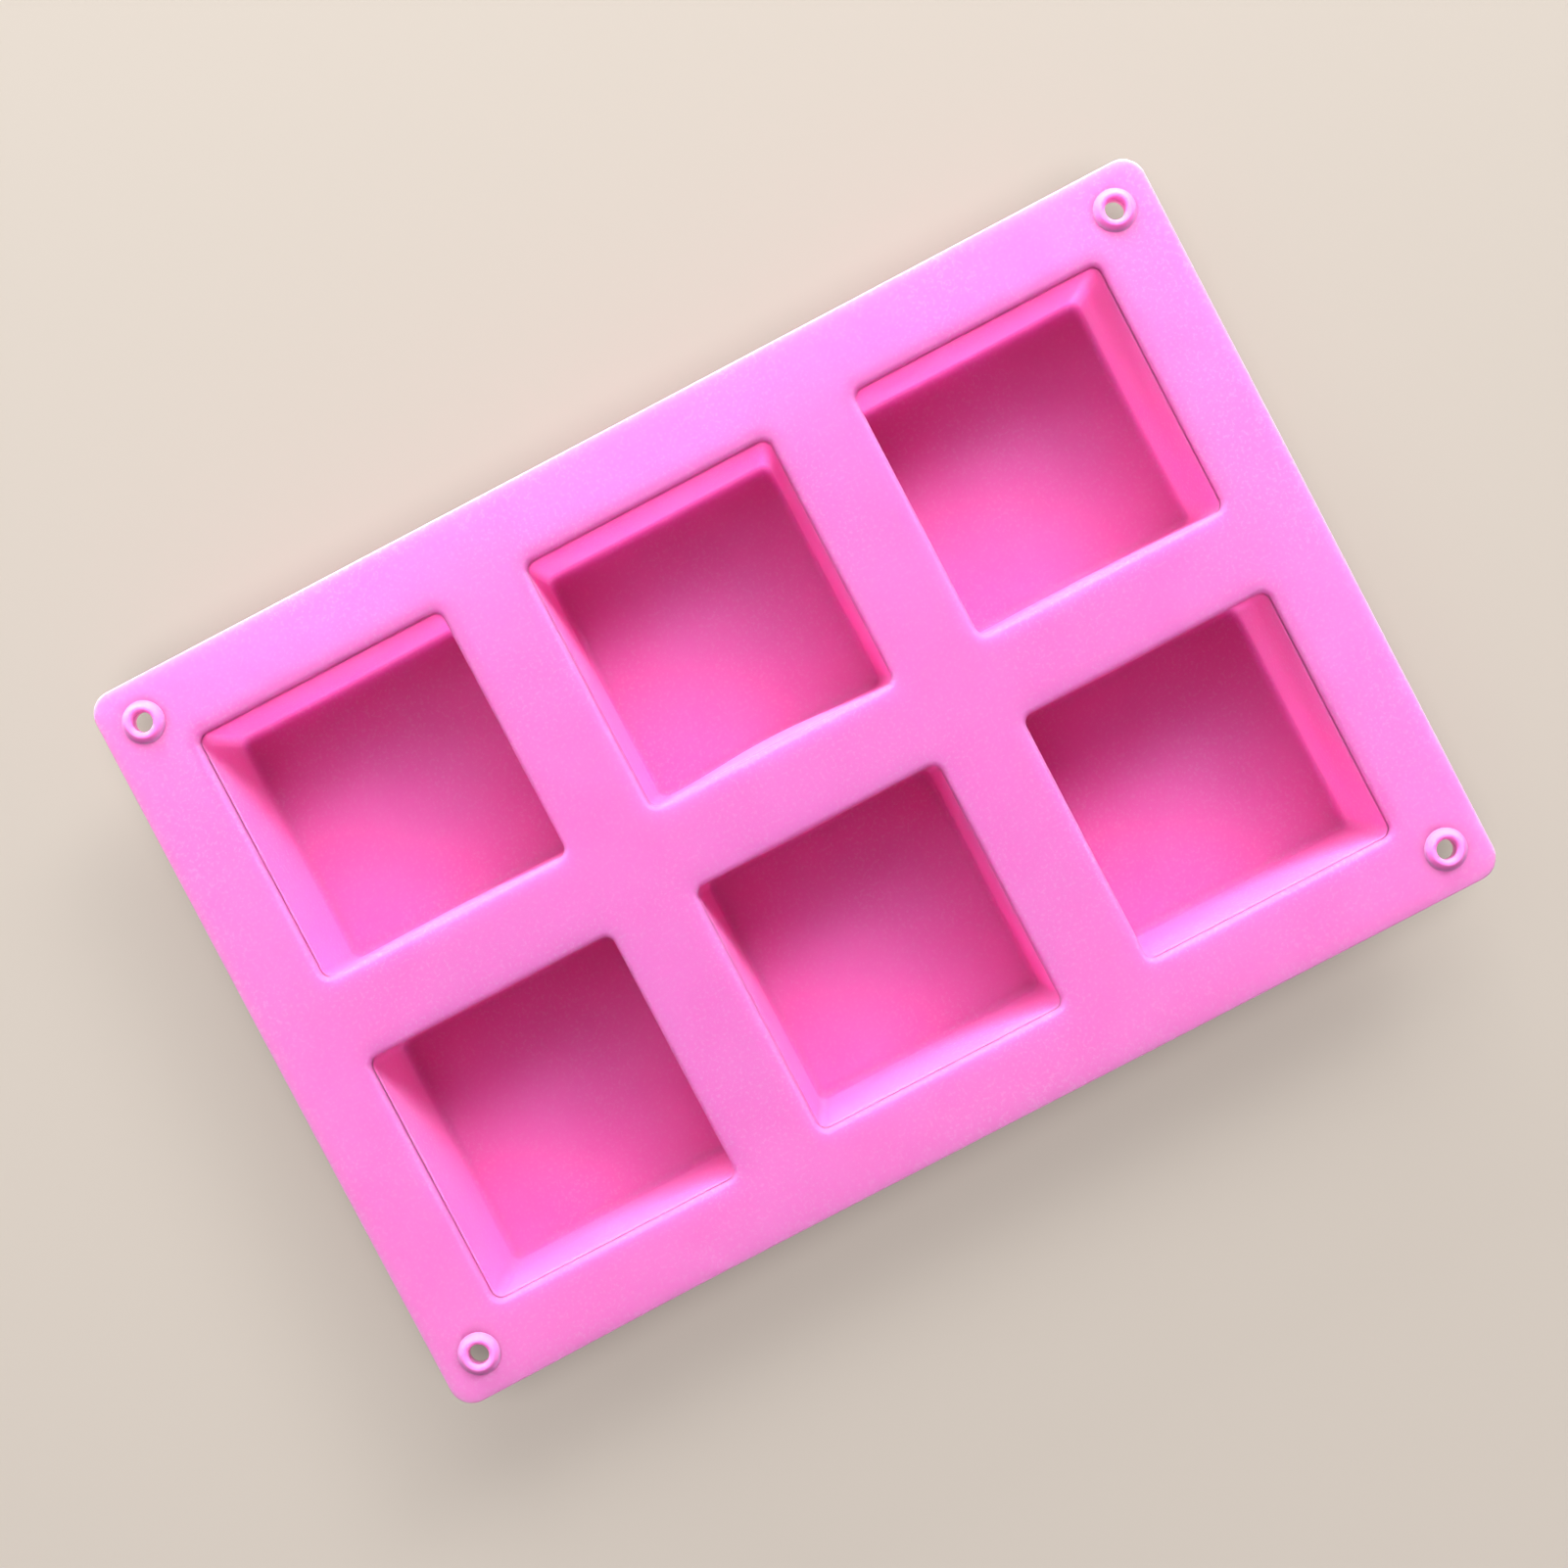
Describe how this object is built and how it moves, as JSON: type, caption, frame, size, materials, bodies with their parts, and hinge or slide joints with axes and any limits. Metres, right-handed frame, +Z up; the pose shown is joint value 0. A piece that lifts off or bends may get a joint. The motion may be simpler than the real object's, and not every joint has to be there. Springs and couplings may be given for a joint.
{
  "type": "soap mould",
  "caption": "Flexible silicone tray mould: a flat rounded deck with deep square drafted cavities hanging below it for casting bars of soap, and a small raised eyelet at each corner.",
  "frame": {"origin": "under the middle of the tray, in the plane of the cup undersides that it stands on", "axes": "+X along the tray's length towards the right-hand column of cavities, +Y across it towards the rear row, +Z up, out of the cavities"},
  "size_m": [0.245, 0.167, 0.0313],
  "materials": {
    "silicone": "satin"
  },
  "bodies": {
    "root": {"top_deck": "silicone", "cavity_cup_front_left": "silicone", "cavity_cup_front_centre": "silicone", "cavity_cup_front_right": "silicone", "cavity_cup_rear_left": "silicone", "cavity_cup_rear_centre": "silicone", "cavity_cup_rear_right": "silicone", "corner_eyelet_front_left": "silicone", "corner_eyelet_front_right": "silicone", "corner_eyelet_rear_left": "silicone", "corner_eyelet_rear_right": "silicone"}
  },
  "joints": []
}
